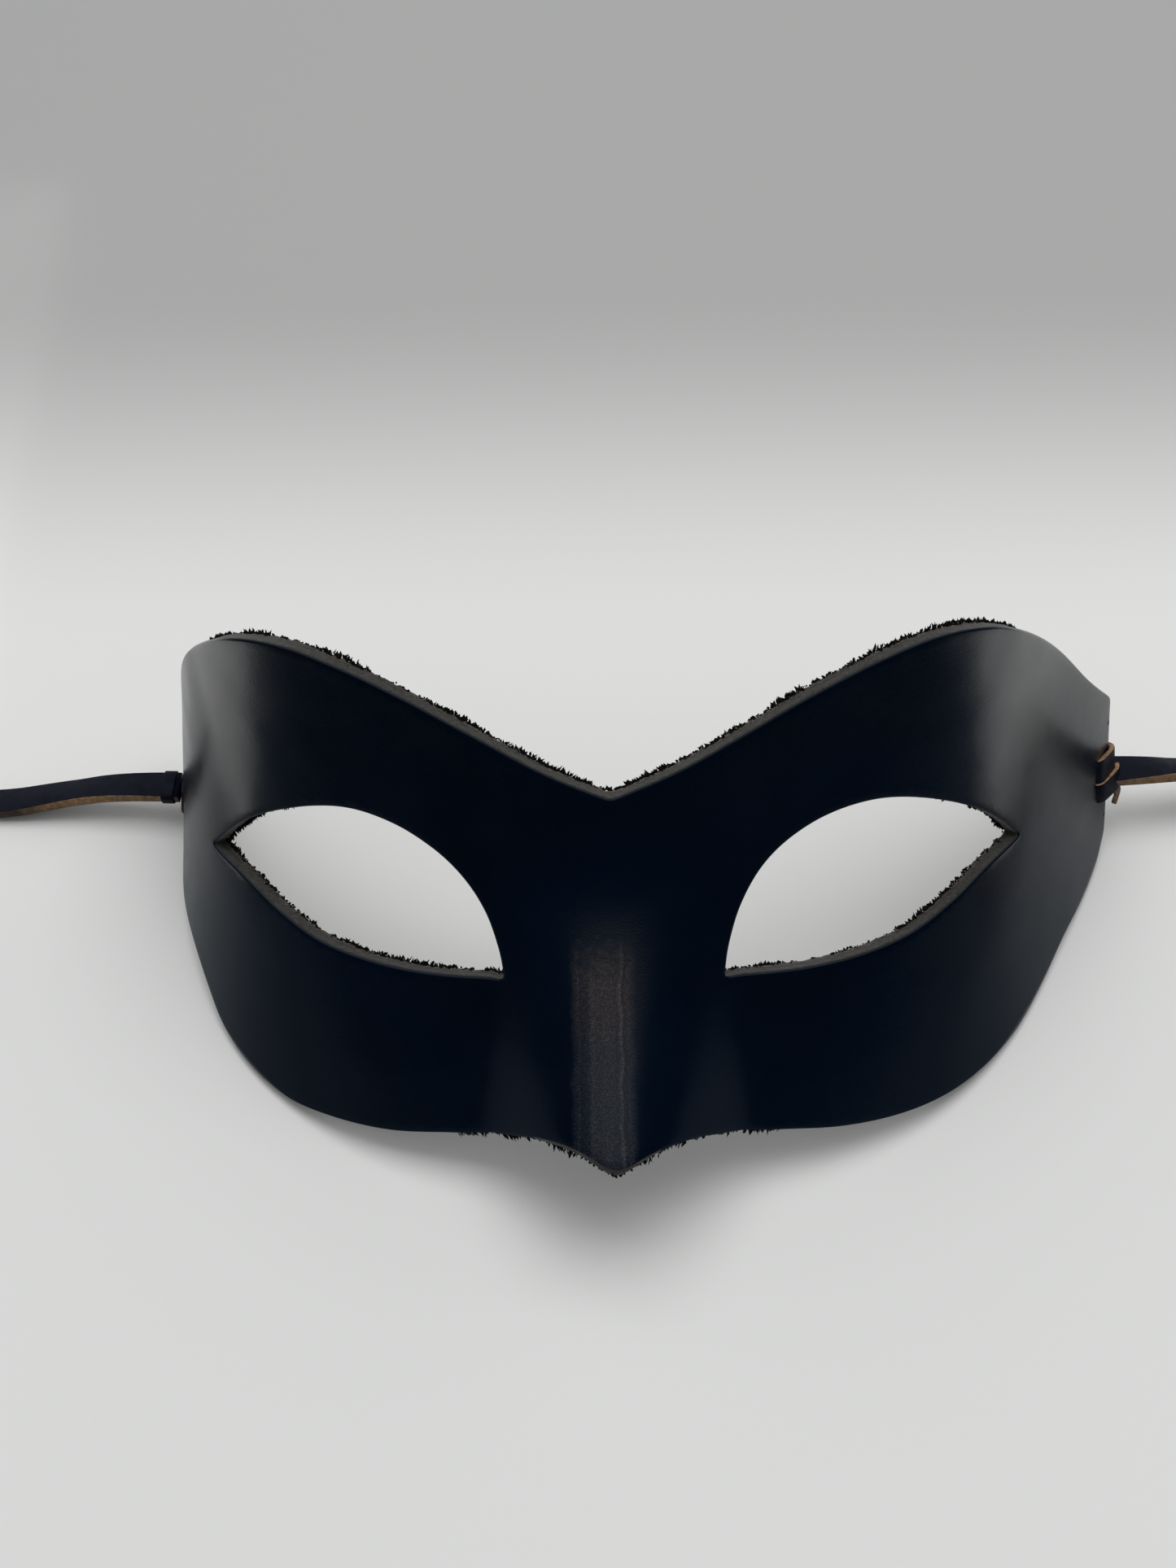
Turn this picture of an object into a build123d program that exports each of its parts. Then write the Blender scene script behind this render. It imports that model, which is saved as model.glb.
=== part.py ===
from build123d import *
import os
from bisect import bisect_right
from math import cos, exp, radians, sin, sqrt, tan

os.makedirs("parts", exist_ok=True)

# A moulded leather domino mask, tied on with one flat lace at each temple. Millimetres.
#
# The mask is drawn as a flat pattern: u is the way round the face from the nose ridge, + to the
# +X side, and w is the height above the dip at the top of the nose. The pattern is then bent
# round the face, and the finished mask leans back on its cheeks and on the tips of its wings.

# Leather
LEATHER = 2.8

# How far the mask turns round the face: radius of the brow, of the temple and of the wing
BROW_RADIUS = 125
TEMPLE_RADIUS = 43.5
WING_RADIUS = 300
TEMPLE_START = 44.5
TEMPLE_END = {+1: 70.5, -1: 94.0}
START_EASE = 7.0
END_EASE = 5.0

# How it is moulded up and down: everything flares outwards a little towards the bottom, and
# the front is hollow at eye level, with the brow and the cheeks standing forward
FLARE = 5.0
FRONT_BOW = 0.005
SIDE_BOW = 0.001
BOW_REACH = 48
BOW_LEVEL = 10
BOW_LIMIT = -20

# The nose: it rises evenly from NOSE_TOP down to the tip
NOSE_TOP = 4
NOSE_RISE = 17.0
NOSE_LENGTH = 36
NOSE_HALF_WIDTH = 19
NOSE_HOLLOW = 0.45
RIDGE_ROUND = 0.25
NOSE_EASE = 0.02
NOSE_BLEND = 0.12
NOSE_REACH = 60

# Edges of the pattern, as (u, w), from the nose ridge to the end of the wing
BROW_EDGE = [(0, 17.5), (10, 21.9), (20, 27.3), (30, 32.3), (40, 35.8), (51, 37.2),
             (63, 34.8), (74, 29.5), (85, 21.6), (98, 10.0), (108, 2.2), (114, -2.4)]
NOSE_EDGE = [(0, -31.7), (2, -31.2), (4.5, -30.4), (8, -30.7), (12, -32.7), (16, -35.8), (20, -38.0)]
CHEEK_EDGE = {+1: [(26, -39.3), (34, -40.9), (44, -42.0), (52, -42.0), (60, -40.8), (68, -38.6),
                   (77, -34.8), (85, -31.0), (94, -28.3), (100, -25.6), (104, -21.8), (114, -12)],
              -1: [(26, -39.3), (34, -40.9), (44, -41.7), (52, -41.7), (60, -39.6), (67, -36.2),
                   (73, -31.6), (80, -27.2), (88, -24.4), (96, -23.2), (103, -20.8), (114, -12)]}
EYE_TOP = {+1: [(16.5, -11.9), (17.2, -7.5), (19.2, -1.2), (22.5, 4.6), (27, 8.9), (33, 11.9),
                (40, 12.8), (47, 11.5), (55, 8.1), (62, 3.8), (66.5, 0.0), (70.5, -4.0)],
           -1: [(16.5, -11.9), (17.2, -7.9), (19.2, -1.9), (22.5, 3.5), (27, 7.8), (33, 11.1),
                (40, 12.5), (47, 11.4), (55, 8.1), (62, 3.8), (66.5, 0.0), (70.5, -4.0)]}
EYE_BOTTOM = [(16.5, -12.1), (23, -12.7), (31, -12.9), (39, -12.4), (46.5, -11.2), (54, -8.6),
              (62, -5.6), (70.5, -4.2)]

# The straight end of each wing, and the lace hole in it
WING_TOP = (108, 2.2)
WING_FOOT = (104.5, -20)
LACE_HOLE = 3.4
HOLE_FROM_END = 3.9
HOLE_LEVEL = {+1: -10.0, -1: -13.5}

# The lace, and the knot that ties it round the end of the wing: a lump on the grain side, and
# one turn of lace over the end and across the flesh side
LACE_WIDTH = 5.0
LACE_THICK = 1.9
LACE_CORNER = 0.5
KNOT_HEIGHT = {+1: 8.6, -1: 5.6}
KNOT_PROUD = {+1: 2.2, -1: 3.2}
KNOT_PAST_END = 1.8
KNOT_INWARD = 5.4
LUMP_BITE = 0.6
TURN_BITE = 1.2
LUMP_ROUND = 1.2
TURN_ROUND = 0.7

# How the mask rests on its cheeks and wing tips: leaning back, and a little to the -X side
LEAN_BACK = 24.57
LEAN_SIDE = 0.77

# The way each lace takes from its knot to its coil, along its middle, chosen by hand
LACE_ROUTE = {-1: [(-79.6, 35.3, 6.8), (-89.5, 36.1, 6.2), (-100.5, 35.9, 3.9), (-112, 35.1, 1.7),
                   (-123, 36.0, 1.4), (-134, 36.9, 2.6)],
              +1: [(79.6, 34.5, 11.3), (88.0, 35.1, 10.9), (97.5, 36.2, 8.9), (108, 37.0, 5.3),
                   (118.6, 37.2, 2.8)]}

# The rest of each lace, wound into a round coil that lies flat: the lace stands on its edge
COIL_CENTRE = {-1: (-146, 5.5), +1: (131, 5.6)}
COIL_OUTER = 33
COIL_INNER = 20
COIL_HEIGHT = 5.2
LEAD_WIDTH = 5.8

# How finely the mask is drawn: along the plan, across a section, and where the sections are
PLAN_STEP = 0.5
PLAN_REACH = 130
SECTION_STEPS = 8
PROBE = 0.2
CLEAR_CUT = 6
TRIM_BLOCK = 40
STATIONS = [0, 1.5, 3, 5, 7.5, 10.5, 14, 18, 22, 27, 33, 39, 45, 51, 57, 63, 69, 75, 81, 87, 93,
            98, 102, 106, 110]
EYE_STATIONS = [16.5, 16.8, 17.3, 18.2, 19.5, 21.5, 24.5, 28.5, 33, 38, 43, 48, 53, 58, 62.5, 66.5,
                69, 70.5]


def step(u, middle, ease):
    """A smooth step from 0 to 1."""
    return 1 / (1 + exp((middle - u) / ease))


def plan_table(side):
    """Where the mask goes round the face at eye level: u, x, y, heading, every PLAN_STEP."""
    rows = [(0.0, 0.0, 0.0, 0.0)]
    heading = 0.0
    x = 0.0
    y = 0.0
    for i in range(int(PLAN_REACH / PLAN_STEP)):
        u = (i + 0.5) * PLAN_STEP
        bend = 1 / BROW_RADIUS
        bend += (1 / TEMPLE_RADIUS - 1 / BROW_RADIUS) * step(u, TEMPLE_START, START_EASE)
        bend += (1 / WING_RADIUS - 1 / TEMPLE_RADIUS) * step(u, TEMPLE_END[side], END_EASE)
        middle = heading + bend * PLAN_STEP / 2
        x += cos(middle) * PLAN_STEP
        y += sin(middle) * PLAN_STEP
        heading += bend * PLAN_STEP
        rows.append((u + PLAN_STEP / 2, x, y, heading))
    return rows


PLAN = {side: plan_table(side) for side in (+1, -1)}


def plan(side, u):
    rows = PLAN[side]
    i = min(int(u / PLAN_STEP), len(rows) - 2)
    part = u / PLAN_STEP - i
    return [a + (b - a) * part for a, b in zip(rows[i][1:], rows[i + 1][1:])]


def edge(points, u):
    """A smooth curve through the points of an edge (Catmull-Rom), read at u."""
    i = min(max(bisect_right([p[0] for p in points], u) - 1, 0), len(points) - 2)

    def slope(k):
        a = points[max(k - 1, 0)]
        b = points[min(k + 1, len(points) - 1)]
        return (b[1] - a[1]) / (b[0] - a[0])

    (u0, w0), (u1, w1) = points[i], points[i + 1]
    span = u1 - u0
    t = (u - u0) / span
    return ((2 * t**3 - 3 * t**2 + 1) * w0 + (t**3 - 2 * t**2 + t) * span * slope(i)
            + (3 * t**2 - 2 * t**3) * w1 + (t**3 - t**2) * span * slope(i + 1))


def moulding(u, w):
    """How far the grain side stands out from the plan curve at height w."""
    bow = SIDE_BOW + FRONT_BOW * exp(-(u / BOW_REACH) ** 2)
    above = max(w, BOW_LIMIT) - BOW_LEVEL
    below = min(w - BOW_LIMIT, 0)
    curve = bow * (above**2 / 2 + (BOW_LIMIT - BOW_LEVEL) * below - BOW_LEVEL**2 / 2)
    return curve - w * tan(radians(FLARE))


def nose(u, w):
    """How far the nose stands forward: a rounded ridge with hollow flanks that fade into the cheeks."""
    if u > NOSE_REACH:
        return 0
    down = (NOSE_TOP - w) / NOSE_LENGTH
    rise = NOSE_RISE * (down + sqrt(down**2 + NOSE_EASE)) / 2
    t = u / NOSE_HALF_WIDTH
    ridge = 1 - (sqrt(t**2 + RIDGE_ROUND**2) - RIDGE_ROUND) / (sqrt(1 + RIDGE_ROUND**2) - RIDGE_ROUND)
    ridge = (ridge + sqrt(ridge**2 + NOSE_BLEND**2)) / 2
    return rise * ((1 - NOSE_HOLLOW) * ridge + NOSE_HOLLOW * ridge**2 * (3 - 2 * ridge))


def grain(side, u, w):
    """The point of the grain side that the pattern's (u, w) goes to."""
    x, y, heading = plan(side, u)
    out = moulding(u, w)
    return Vector(side * (x + sin(heading) * out), y - cos(heading) * out - nose(u, w), w)


def outward(side, u, w):
    """Unit normal of the grain side."""
    if u < PROBE:
        along = Vector(side, 0, 0)
    else:
        along = grain(side, u + PROBE, w) - grain(side, u - PROBE, w)
    up = grain(side, u, w + PROBE) - grain(side, u, w - PROBE)
    return (along.cross(up) * side).normalized()


def inward(side, u, w):
    """From the grain side to the flesh side. It keeps the last section flat."""
    n = outward(side, u, w)
    if u == STATIONS[-1]:
        heading = plan(side, u)[2]
        level = sqrt(1 - n.Z**2)
        n = Vector(side * sin(heading) * level, -cos(heading) * level, n.Z)
    return n * -LEATHER


def section(side, u):
    """The leather cut across at u: grain side, top edge, flesh side, bottom edge."""
    low = edge(NOSE_EDGE + CHEEK_EDGE[side], u)
    high = edge(BROW_EDGE, u)
    levels = [low + (high - low) * i / SECTION_STEPS for i in range(SECTION_STEPS + 1)]
    front = [grain(side, u, w) for w in levels]
    back = [grain(side, u, w) + inward(side, u, w) for w in levels]
    return Wire([Spline(*front), Line(front[-1], back[-1]), Spline(*reversed(back)),
                 Line(back[0], front[0])])


def half_mask(side):
    return Solid.make_loft([section(side, u) for u in STATIONS], False)


def eye_cutter(side):
    """A thick plug of the eye hole's outline, square to the leather everywhere."""
    rings = []
    for u in EYE_STATIONS:
        low = edge(EYE_BOTTOM, u)
        high = edge(EYE_TOP[side], u)
        corners = []
        heading = plan(side, u)[2]
        out = Vector(side * sin(heading), -cos(heading), 0)
        outside = out * CLEAR_CUT
        inside = out * -(LEATHER + CLEAR_CUT)
        for w, reach in ((low, outside), (high, outside), (high, inside), (low, inside)):
            corners.append(grain(side, u, w) + reach)
        rings.append(Wire.make_polygon(corners, close=True))
    return Solid.make_loft(rings, False)


def end_plane(side, u, w):
    """A frame on the grain side: x outwards along the wing, z out of the leather."""
    n = outward(side, u, w)
    along = (grain(side, u + 1, w) - grain(side, u - 1, w)).normalized()
    return Plane(origin=grain(side, u, w), x_dir=along, z_dir=n)


def wing_end(w):
    """u of the wing's end at height w."""
    (u0, w0), (u1, w1) = WING_TOP, WING_FOOT
    return u0 + (u1 - u0) * (w - w0) / (w1 - w0)


def end_trim(side):
    """Everything past the straight end of the wing."""
    top = grain(side, *WING_TOP)
    foot = grain(side, *WING_FOOT)
    n = outward(side, (WING_TOP[0] + WING_FOOT[0]) / 2, (WING_TOP[1] + WING_FOOT[1]) / 2)
    down = (foot - top).normalized()
    past = n.cross(down) * side
    face = Plane(origin=(top + foot) / 2, x_dir=down, z_dir=past)
    return face * Pos(0, 0, TRIM_BLOCK / 2) * Box(2 * TRIM_BLOCK, TRIM_BLOCK, TRIM_BLOCK)


def mask():
    body = half_mask(+1).fuse(half_mask(-1))
    for side in (+1, -1):
        w = HOLE_LEVEL[side]
        through = Cylinder(LACE_HOLE / 2, 2 * (LEATHER + CLEAR_CUT))
        hole = end_plane(side, wing_end(w) - HOLE_FROM_END, w) * through
        body = body.cut(eye_cutter(side), end_trim(side), hole)
    return body


def knot(side, leather):
    """The lace tied round the end of the wing, through the hole: it grips both faces."""
    w = HOLE_LEVEL[side]
    here = end_plane(side, wing_end(w), w)
    length = KNOT_INWARD + KNOT_PAST_END
    middle = (KNOT_PAST_END - KNOT_INWARD) / 2
    proud = KNOT_PROUD[side]
    lump = Box(length, KNOT_HEIGHT[side], proud + LUMP_BITE)
    lump = Pos(middle, 0, (proud - LUMP_BITE) / 2) * fillet(lump.edges(), LUMP_ROUND)
    depth = LEATHER + LACE_THICK
    turn = Box(length, LACE_WIDTH, depth + TURN_BITE)
    turn = fillet(turn.edges().filter_by(Axis.Y), TURN_ROUND)
    turn = Pos(middle, 0, (TURN_BITE - depth) / 2) * turn
    return (here * (lump + turn)).cut(leather)


def route_radii(points):
    """At each corner the largest arc that both its runs leave room for."""
    radii = []
    for a, b, c in zip(points, points[1:], points[2:]):
        before = Vector(*b) - Vector(*a)
        after = Vector(*c) - Vector(*b)
        turn = radians(before.get_angle(after))
        radii.append(0.45 * min(before.length, after.length) / tan(turn / 2))
    return radii


def lace(side):
    """The flat lace from its knot to its coil."""
    points = LACE_ROUTE[side]
    radii = route_radii(points)
    path = FilletPolyline(*points, radius=radii)
    start = Plane(origin=path @ 0, x_dir=Vector(0, 0, 1).cross(path % 0), z_dir=path % 0)
    strip = RectangleRounded(LACE_WIDTH, LACE_THICK, LACE_CORNER)
    solid = Solid.sweep((start * strip).face(), path)
    print("arcs", [round(r, 1) for r in radii], "volume", round(solid.volume, 1),
          "section x length", round(strip.area * path.length, 1), "length", round(path.length, 1))
    return solid


def coil(side):
    """The outer shape of the wound lace: a flat ring, and the lead that runs in at a tangent."""
    x, y = COIL_CENTRE[side]
    ring = Cylinder(COIL_OUTER, COIL_HEIGHT) - Cylinder(COIL_INNER, COIL_HEIGHT)
    end_x, end_y, _ = LACE_ROUTE[side][-1]
    lead = abs(x - end_x)
    stub = Pos(-side * lead / 2, end_y - y, 0) * Box(lead, LEAD_WIDTH, COIL_HEIGHT)
    shape = Pos(x, y, COIL_HEIGHT / 2) * (ring + stub)
    return shape.solid()


def main():
    leather = mask()
    knots = {side: knot(side, leather) for side in (-1, +1)}
    lean = Rot(0, -LEAN_SIDE, 0) * Rot(-LEAN_BACK, 0, 0)
    box = Compound([lean * shape for shape in (leather, knots[-1], knots[+1])]).bounding_box()
    middle = box.center()
    rest = Pos(-middle.X, -middle.Y, -box.min.Z) * lean

    shapes = {"mask_body": rest * leather}
    for side, name in ((-1, "left"), (+1, "right")):
        tie = rest * knots[side]
        wound = coil(side)
        shapes["knot_" + name] = tie
        shapes["lace_" + name] = lace(side).cut(tie).cut(wound).solid()
        shapes["coil_" + name] = wound
    for name, shape in shapes.items():
        export_step(shape, f"parts/{name}.step")


main()
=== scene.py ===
import random
from bisect import bisect_right
from math import cos, pi, radians, sin, tan

import bpy
import numpy as np
from mathutils import Euler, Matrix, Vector, noise
from mathutils.geometry import delaunay_2d_cdt


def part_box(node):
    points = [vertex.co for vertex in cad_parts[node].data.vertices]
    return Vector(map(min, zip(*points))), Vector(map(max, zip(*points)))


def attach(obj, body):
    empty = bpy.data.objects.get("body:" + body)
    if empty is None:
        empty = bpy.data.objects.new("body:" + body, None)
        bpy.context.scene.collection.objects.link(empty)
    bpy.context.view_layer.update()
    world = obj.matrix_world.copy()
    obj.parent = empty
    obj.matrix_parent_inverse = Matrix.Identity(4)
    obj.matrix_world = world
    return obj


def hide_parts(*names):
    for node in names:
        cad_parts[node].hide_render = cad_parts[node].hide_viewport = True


# A black leather domino mask lying on a pale table, with a flat leather lace at each temple.
# The mask is cut from a flat pattern in millimetres: s is the way round the face from the nose
# ridge, + to the +X side, and w is the height above the dip at the top of the nose. Everything
# placed in the scene is in metres.
MM = 0.001
SEED = 7

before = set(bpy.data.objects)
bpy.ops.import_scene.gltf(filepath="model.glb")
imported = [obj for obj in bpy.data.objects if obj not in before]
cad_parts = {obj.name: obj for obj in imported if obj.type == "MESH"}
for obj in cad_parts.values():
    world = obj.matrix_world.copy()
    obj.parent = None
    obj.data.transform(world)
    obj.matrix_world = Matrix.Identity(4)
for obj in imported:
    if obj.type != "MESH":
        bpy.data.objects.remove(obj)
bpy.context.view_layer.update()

# ---------------------------------------------------------------- the pattern, in millimetres

LEATHER = 2.8
BROW_RADIUS = 125
TEMPLE_RADIUS = 43.5
WING_RADIUS = 300
TEMPLE_START = 44.5
TEMPLE_END = {+1: 70.5, -1: 94.0}
START_EASE = 7.0
END_EASE = 5.0
FLARE = 5.0
FRONT_BOW = 0.005
SIDE_BOW = 0.001
BOW_REACH = 48
BOW_LEVEL = 10
BOW_LIMIT = -20
NOSE_TOP = 4
NOSE_RISE = 17.0
NOSE_LENGTH = 36
NOSE_HALF_WIDTH = 19
NOSE_HOLLOW = 0.45
RIDGE_ROUND = 0.25
NOSE_EASE = 0.02
NOSE_BLEND = 0.12
BROW_EDGE = [(0, 17.5), (10, 21.9), (20, 27.3), (30, 32.3), (40, 35.8), (51, 37.2),
             (63, 34.8), (74, 29.5), (85, 21.6), (98, 10.0), (108, 2.2), (114, -2.4)]
NOSE_EDGE = [(0, -31.7), (2, -31.2), (4.5, -30.4), (8, -30.7), (12, -32.7), (16, -35.8), (20, -38.0)]
CHEEK_EDGE = {+1: [(26, -39.3), (34, -40.9), (44, -42.0), (52, -42.0), (60, -40.8), (68, -38.6),
                   (77, -34.8), (85, -31.0), (94, -28.3), (100, -25.6), (104, -21.8), (114, -12)],
              -1: [(26, -39.3), (34, -40.9), (44, -41.7), (52, -41.7), (60, -39.6), (67, -36.2),
                   (73, -31.6), (80, -27.2), (88, -24.4), (96, -23.2), (103, -20.8), (114, -12)]}
EYE_TOP = {+1: [(16.5, -11.9), (17.2, -7.5), (19.2, -1.2), (22.5, 4.6), (27, 8.9), (33, 11.9),
                (40, 12.8), (47, 11.5), (55, 8.1), (62, 3.8), (66.5, 0.0), (70.5, -4.0)],
           -1: [(16.5, -11.9), (17.2, -7.9), (19.2, -1.9), (22.5, 3.5), (27, 7.8), (33, 11.1),
                (40, 12.5), (47, 11.4), (55, 8.1), (62, 3.8), (66.5, 0.0), (70.5, -4.0)]}
EYE_BOTTOM = [(16.5, -12.1), (23, -12.7), (31, -12.9), (39, -12.4), (46.5, -11.2), (54, -8.6),
              (62, -5.6), (70.5, -4.2)]
WING_TOP = (108, 2.2)
WING_FOOT = (104.5, -20)
LACE_HOLE = 3.4
HOLE_FROM_END = 3.9
HOLE_LEVEL = {+1: -10.0, -1: -13.5}
LEAN_BACK = 24.57
LEAN_SIDE = 0.77
PLAN_STEP = 0.5
PLAN_REACH = 130
PROBE = 0.2


def step(u, middle, ease):
    """A smooth step from 0 to 1."""
    return 1 / (1 + np.exp((middle - u) / ease))


def plan_table(side):
    """Where the mask goes round the face at eye level: u, x, y and heading, every PLAN_STEP."""
    u = np.arange(0, PLAN_REACH, PLAN_STEP) + PLAN_STEP / 2
    bend = 1 / BROW_RADIUS
    bend = bend + (1 / TEMPLE_RADIUS - 1 / BROW_RADIUS) * step(u, TEMPLE_START, START_EASE)
    bend = bend + (1 / WING_RADIUS - 1 / TEMPLE_RADIUS) * step(u, TEMPLE_END[side], END_EASE)
    heading = np.concatenate([[0], np.cumsum(bend * PLAN_STEP)])
    middle = heading[:-1] + bend * PLAN_STEP / 2
    x = np.concatenate([[0], np.cumsum(np.cos(middle) * PLAN_STEP)])
    y = np.concatenate([[0], np.cumsum(np.sin(middle) * PLAN_STEP)])
    return np.arange(len(x)) * PLAN_STEP, x, y, heading


PLAN = {side: plan_table(side) for side in (+1, -1)}


def edge(points, u):
    """A smooth curve through the points of an edge (Catmull-Rom), read at u."""
    i = min(max(bisect_right([p[0] for p in points], u) - 1, 0), len(points) - 2)

    def slope(k):
        a = points[max(k - 1, 0)]
        b = points[min(k + 1, len(points) - 1)]
        return (b[1] - a[1]) / (b[0] - a[0])

    (u0, w0), (u1, w1) = points[i], points[i + 1]
    span = u1 - u0
    t = (u - u0) / span
    return ((2 * t**3 - 3 * t**2 + 1) * w0 + (t**3 - 2 * t**2 + t) * span * slope(i)
            + (3 * t**2 - 2 * t**3) * w1 + (t**3 - t**2) * span * slope(i + 1))


def moulding(u, w):
    """How far the grain side stands out from the plan curve at height w."""
    bow = SIDE_BOW + FRONT_BOW * np.exp(-(u / BOW_REACH) ** 2)
    above = np.maximum(w, BOW_LIMIT) - BOW_LEVEL
    below = np.minimum(w - BOW_LIMIT, 0)
    curve = bow * (above**2 / 2 + (BOW_LIMIT - BOW_LEVEL) * below - BOW_LEVEL**2 / 2)
    return curve - w * tan(radians(FLARE))


def nose(u, w):
    """How far the nose stands forward: a rounded ridge with hollow flanks."""
    down = (NOSE_TOP - w) / NOSE_LENGTH
    rise = NOSE_RISE * (down + np.sqrt(down**2 + NOSE_EASE)) / 2
    t = u / NOSE_HALF_WIDTH
    full = np.sqrt(1 + RIDGE_ROUND**2) - RIDGE_ROUND
    ridge = 1 - (np.sqrt(t**2 + RIDGE_ROUND**2) - RIDGE_ROUND) / full
    ridge = (ridge + np.sqrt(ridge**2 + NOSE_BLEND**2)) / 2
    return rise * ((1 - NOSE_HOLLOW) * ridge + NOSE_HOLLOW * ridge**2 * (3 - 2 * ridge))


def grain(s, w):
    """Points of the grain side for arrays of s and w, with the face upright."""
    u = np.abs(s)
    side = np.where(s < 0, -1, 1)
    left, right = PLAN[-1], PLAN[+1]
    x, y, heading = (np.where(s < 0, np.interp(u, left[0], left[k]), np.interp(u, right[0], right[k]))
                     for k in (1, 2, 3))
    out = moulding(u, w)
    return np.stack([side * (x + np.sin(heading) * out), y - np.cos(heading) * out - nose(u, w), w], axis=-1)


def outward(s, w):
    """Unit normals of the grain side."""
    along = grain(s + PROBE, w) - grain(s - PROBE, w)
    up = grain(s, w + PROBE) - grain(s, w - PROBE)
    return unit(np.cross(along, up))


def wing_end(w):
    """u of the wing's end at height w."""
    (u0, w0), (u1, w1) = WING_TOP, WING_FOOT
    return u0 + (u1 - u0) * (w - w0) / (w1 - w0)


# ---------------------------------------------------------------- from the pattern to the scene

SIDEWAYS = Euler((0, radians(-LEAN_SIDE), 0)).to_matrix()
BACKWARDS = Euler((radians(-LEAN_BACK), 0, 0)).to_matrix()
LEAN = np.array(SIDEWAYS @ BACKWARDS)
EDGE_STEP = 0.5
FOOT_STEP = 0.05
EYE_POINTS = 120
HOLE_POINTS = 24
OUTLINE_STEP = 0.55
CORNER_PASSES = 3
EYE_CORNER_PASSES = 2


def unit(v):
    """The same directions, each of length 1."""
    return v / np.linalg.norm(v, axis=-1, keepdims=True)


def way_along(line):
    """How far each point of a line lies from its start, measured along it."""
    return np.concatenate([[0], np.cumsum(np.linalg.norm(np.diff(line, axis=0), axis=1))])


def resample(points, spacing, closed=True):
    """The same line with points evenly spaced along it."""
    p = np.array(points, float)
    if closed:
        p = np.vstack([p, p[:1]])
    run = way_along(p)
    count = max(int(round(run[-1] / spacing)), 3)
    at = np.linspace(0, run[-1], count + 1)
    even = np.stack([np.interp(at, run, p[:, k]) for k in range(p.shape[1])], axis=1)
    return even[:-1] if closed else even


def relax(loop, passes):
    """Rounds the corners of a closed loop a little."""
    for _ in range(passes):
        loop = (np.roll(loop, 1, axis=0) + 2 * loop + np.roll(loop, -1, axis=0)) / 4
    return loop


def lower_edge(side, u):
    """Height of the lower edge at u: the nose's edge, then the cheek's."""
    return edge(NOSE_EDGE + CHEEK_EDGE[side], u)


def half_outline(side):
    """From the notch over the brow, down the wing's end, and back under the cheek to the nose tip."""
    brow = [(u, edge(BROW_EDGE, u)) for u in np.arange(0, WING_TOP[0], EDGE_STEP)]
    foot = WING_FOOT[0]
    while wing_end(lower_edge(side, foot)) < foot:
        foot -= FOOT_STEP
    cheek = [(u, lower_edge(side, u)) for u in np.arange(foot, 0, -EDGE_STEP)]
    return [(side * u, w) for u, w in brow + [WING_TOP] + cheek]


def mask_outline():
    """The outline of the whole mask, with the leather on its left-hand side."""
    right = half_outline(+1)
    left = half_outline(-1)
    tip = (0.0, lower_edge(+1, 0))
    loop = right + [tip] + left[:0:-1]
    return relax(resample(loop, OUTLINE_STEP), CORNER_PASSES)[::-1]


def eye_outline(side):
    """The outline of an eye hole, closer together at the corners, with the leather on the left."""
    first, last = EYE_TOP[side][0][0], EYE_TOP[side][-1][0]
    along = first + (last - first) * (1 - np.cos(np.linspace(0, pi, EYE_POINTS))) / 2
    top = [(u, edge(EYE_TOP[side], u)) for u in along]
    bottom = [(u, edge(EYE_BOTTOM, u)) for u in along[::-1]]
    loop = relax(resample(top + bottom, OUTLINE_STEP), EYE_CORNER_PASSES) * (side, 1)
    return loop if side > 0 else loop[::-1]


def hole_outline(side):
    """The outline of the hole for the lace, near the wing's end."""
    w = HOLE_LEVEL[side]
    angles = np.linspace(0, -2 * pi, HOLE_POINTS, endpoint=False)
    ring = np.stack([np.cos(angles), np.sin(angles)], axis=1) * LACE_HOLE / 2
    return ring + (side * (wing_end(w) - HOLE_FROM_END), w)


def leather_side(loop):
    """At each point of a loop, the unit direction in the pattern that leads into the leather."""
    run = unit(np.roll(loop, -1, axis=0) - np.roll(loop, 1, axis=0))
    return np.stack([-run[:, 1], run[:, 0]], axis=1)


def inside(points, loop):
    """Which points lie inside a closed loop."""
    hit = np.zeros(len(points), bool)
    for (x0, y0), (x1, y1) in zip(loop, np.roll(loop, -1, axis=0)):
        if y0 == y1:
            continue
        spans = (points[:, 1] > min(y0, y1)) & (points[:, 1] <= max(y0, y1))
        cross = x0 + (points[:, 1] - y0) * (x1 - x0) / (y1 - y0)
        hit ^= spans & (cross > points[:, 0])
    return hit


def place(points):
    """From the upright face, in millimetres, to where the mask lies, in metres."""
    return points @ LEAN.T * MM + SHIFT


def find_shift():
    """Where the CAD mask lies: the middle of its box, less the middle of the pattern's own box."""
    loop = mask_outline()
    s, w = loop[:, 0], loop[:, 1]
    front = grain(s, w)
    both = np.vstack([front, front - outward(s, w) * LEATHER]) @ LEAN.T * MM
    low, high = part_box("mask_body")
    middle = (both.min(axis=0) + both.max(axis=0)) / 2
    return np.array((low + high) / 2) - middle


SHIFT = find_shift()

# Broad and small unevenness: how long the waves are, how high, and where they start
BROAD_WAVES = (17, 0.16, (0, 0, 0))
SMALL_WAVES = (6.5, 0.035, (9, 4, 2))


def waves(point, size, height, start):
    """Noise at a point, in waves of this size and height."""
    return noise.noise(Vector(point) / size + Vector(start)) * height


def undulation(points):
    """Slight unevenness of hand-moulded leather, in millimetres."""
    return np.array([waves(p, *BROAD_WAVES) + waves(p, *SMALL_WAVES) for p in points])[:, None]


# ---------------------------------------------------------------- mesh helpers

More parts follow.
